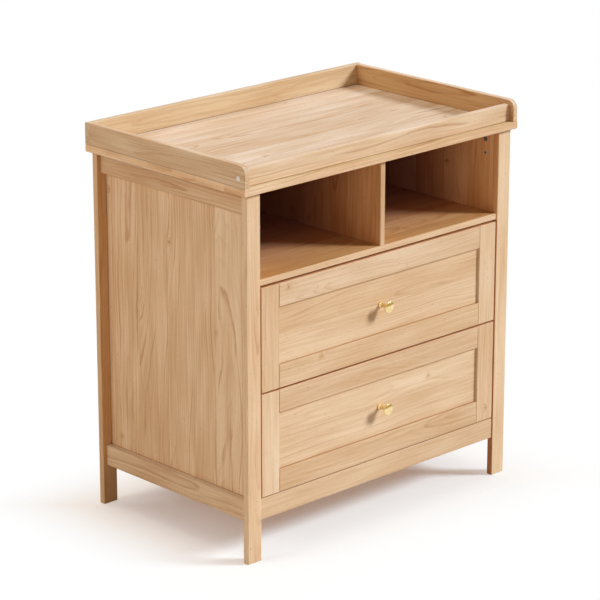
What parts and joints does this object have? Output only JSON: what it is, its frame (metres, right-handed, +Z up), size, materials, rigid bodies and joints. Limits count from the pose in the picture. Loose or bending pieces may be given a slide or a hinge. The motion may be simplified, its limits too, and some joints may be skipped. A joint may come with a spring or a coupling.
{
  "type": "changing dresser",
  "caption": "Wooden nursery chest with a low tray for a changing mat on top, open cubbies over wide framed drawers on ball-bearing runners, and round brass knobs.",
  "frame": {"origin": "on the floor, under the middle of the whole dresser's bounding box", "axes": "+X to the right of somebody facing the drawer fronts, +Y from front to back, +Z up; the drawers open along -Y"},
  "size_m": [0.8696, 0.5498, 0.93],
  "materials": {
    "carcass_wood": "clear matt lacquer over solid edge-glued softwood",
    "tray_wood": "clear matt lacquer over solid edge-glued softwood",
    "drawer_front_wood": "clear matt lacquer over solid softwood",
    "drawer_box_wood": "clear matt lacquer",
    "thin_plywood": "plain sanded plywood",
    "beech_dowel": "raw turned wood",
    "polished_brass": "polished",
    "zinc_plated_steel": "bright zinc plate",
    "steel_fastener": "zinc plate",
    "zinc_fitting": "die-cast zinc",
    "white_plastic": "moulded, matt"
  },
  "bodies": {
    "root": {"back_left_post": "carcass_wood", "back_panel": "thin_plywood", "back_right_post": "carcass_wood", "cam_bolts": "steel_fastener", "cam_locks": "zinc_fitting", "cubby_divider": "carcass_wood", "cubby_shelf": "carcass_wood", "front_apron": "carcass_wood", "front_left_post": "carcass_wood", "front_right_post": "carcass_wood", "left_side_panel": "carcass_wood", "lower_back_rail": "carcass_wood", "lower_left_side_rail": "carcass_wood", "lower_right_side_rail": "carcass_wood", "panel_inserts": "steel_fastener", "right_side_panel": "carcass_wood", "runner_cabinet_members": "zinc_plated_steel", "top_board": "tray_wood", "tray_back_wall": "tray_wood", "tray_front_wall": "tray_wood", "tray_left_wall": "tray_wood", "tray_right_wall": "tray_wood", "tray_screw_caps": "white_plastic", "tray_screws": "steel_fastener", "upper_back_rail": "carcass_wood", "upper_left_side_rail": "carcass_wood", "upper_right_side_rail": "carcass_wood", "wood_dowels": "beech_dowel"},
    "upper_drawer": {"upper_drawer_box_back_wall": "drawer_box_wood", "upper_drawer_box_bottom": "thin_plywood", "upper_drawer_box_front_wall": "drawer_box_wood", "upper_drawer_box_left_side": "drawer_box_wood", "upper_drawer_box_right_side": "drawer_box_wood", "upper_drawer_front_bottom_rail": "drawer_front_wood", "upper_drawer_front_left_stile": "drawer_front_wood", "upper_drawer_front_panel": "drawer_front_wood", "upper_drawer_front_right_stile": "drawer_front_wood", "upper_drawer_front_top_rail": "drawer_front_wood", "upper_drawer_knob": "polished_brass", "upper_drawer_knob_screw": "steel_fastener", "upper_runner_drawer_members": "zinc_plated_steel"},
    "upper_middle_members": {"upper_runner_middle_members": "zinc_plated_steel"},
    "upper_outer_cages": {"upper_runner_outer_cages": "zinc_plated_steel"},
    "upper_inner_cages": {"upper_runner_inner_cages": "zinc_plated_steel"},
    "lower_drawer": {"lower_drawer_box_back_wall": "drawer_box_wood", "lower_drawer_box_bottom": "thin_plywood", "lower_drawer_box_front_wall": "drawer_box_wood", "lower_drawer_box_left_side": "drawer_box_wood", "lower_drawer_box_right_side": "drawer_box_wood", "lower_drawer_front_bottom_rail": "drawer_front_wood", "lower_drawer_front_left_stile": "drawer_front_wood", "lower_drawer_front_panel": "drawer_front_wood", "lower_drawer_front_right_stile": "drawer_front_wood", "lower_drawer_front_top_rail": "drawer_front_wood", "lower_drawer_knob": "polished_brass", "lower_drawer_knob_screw": "steel_fastener", "lower_runner_drawer_members": "zinc_plated_steel"},
    "lower_middle_members": {"lower_runner_middle_members": "zinc_plated_steel"},
    "lower_outer_cages": {"lower_runner_outer_cages": "zinc_plated_steel"},
    "lower_inner_cages": {"lower_runner_inner_cages": "zinc_plated_steel"}
  },
  "joints": [
    {"name": "upper_drawer_slide", "type": "slide", "parent": "root", "child": "upper_drawer", "axis": [0, -1, 0], "range_m": [0, 0.4]},
    {"name": "upper_middle_members_slide", "type": "slide", "parent": "root", "child": "upper_middle_members", "axis": [0, -1, 0], "range_m": [0, 0.2]},
    {"name": "upper_outer_cages_slide", "type": "slide", "parent": "root", "child": "upper_outer_cages", "axis": [0, -1, 0], "range_m": [0, 0.1]},
    {"name": "upper_inner_cages_slide", "type": "slide", "parent": "root", "child": "upper_inner_cages", "axis": [0, -1, 0], "range_m": [0, 0.3]},
    {"name": "lower_drawer_slide", "type": "slide", "parent": "root", "child": "lower_drawer", "axis": [0, -1, 0], "range_m": [0, 0.4]},
    {"name": "lower_middle_members_slide", "type": "slide", "parent": "root", "child": "lower_middle_members", "axis": [0, -1, 0], "range_m": [0, 0.2]},
    {"name": "lower_outer_cages_slide", "type": "slide", "parent": "root", "child": "lower_outer_cages", "axis": [0, -1, 0], "range_m": [0, 0.1]},
    {"name": "lower_inner_cages_slide", "type": "slide", "parent": "root", "child": "lower_inner_cages", "axis": [0, -1, 0], "range_m": [0, 0.3]}
  ],
  "couplings": [
    {"joint": "upper_middle_members_slide", "follows": "upper_drawer_slide", "ratio": 0.5},
    {"joint": "upper_outer_cages_slide", "follows": "upper_drawer_slide", "ratio": 0.25},
    {"joint": "upper_inner_cages_slide", "follows": "upper_drawer_slide", "ratio": 0.75},
    {"joint": "lower_middle_members_slide", "follows": "lower_drawer_slide", "ratio": 0.5},
    {"joint": "lower_outer_cages_slide", "follows": "lower_drawer_slide", "ratio": 0.25},
    {"joint": "lower_inner_cages_slide", "follows": "lower_drawer_slide", "ratio": 0.75}
  ]
}
